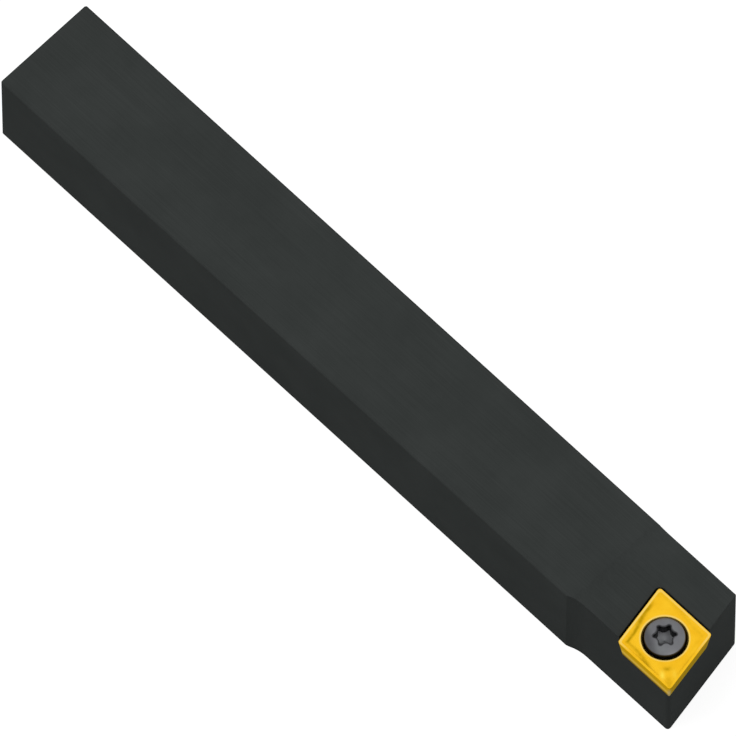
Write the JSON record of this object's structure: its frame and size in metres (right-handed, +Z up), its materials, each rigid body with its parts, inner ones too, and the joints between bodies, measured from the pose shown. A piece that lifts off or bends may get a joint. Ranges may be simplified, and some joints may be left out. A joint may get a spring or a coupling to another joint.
{
  "type": "turning tool holder",
  "caption": "Left-hand square-shank turning tool holder with a rhombic cutting insert held by a countersunk clamp screw.",
  "frame": {"origin": "middle of the shank's underside: halfway between the rear end and the foremost point, and halfway across", "axes": "+X from the rear end to the cutting end, +Z up through the insert's top, cutting corner on the -Y side"},
  "size_m": [0.125, 0.016, 0.0172],
  "materials": {
    "blackened_steel": "black oxide, satin",
    "gold_coated_carbide": "gold-yellow hard coating on sintered carbide",
    "dark_screw_steel": "hardened and blackened, satin"
  },
  "bodies": {
    "holder": {"holder_body": "blackened_steel", "cutting_insert": "gold_coated_carbide"},
    "screw": {"clamp_screw": "dark_screw_steel"}
  },
  "joints": [
    {"name": "screw_release", "type": "slide", "parent": "holder", "child": "screw", "axis": [0, 0, 1], "range_m": [0, 0.0105]}
  ]
}
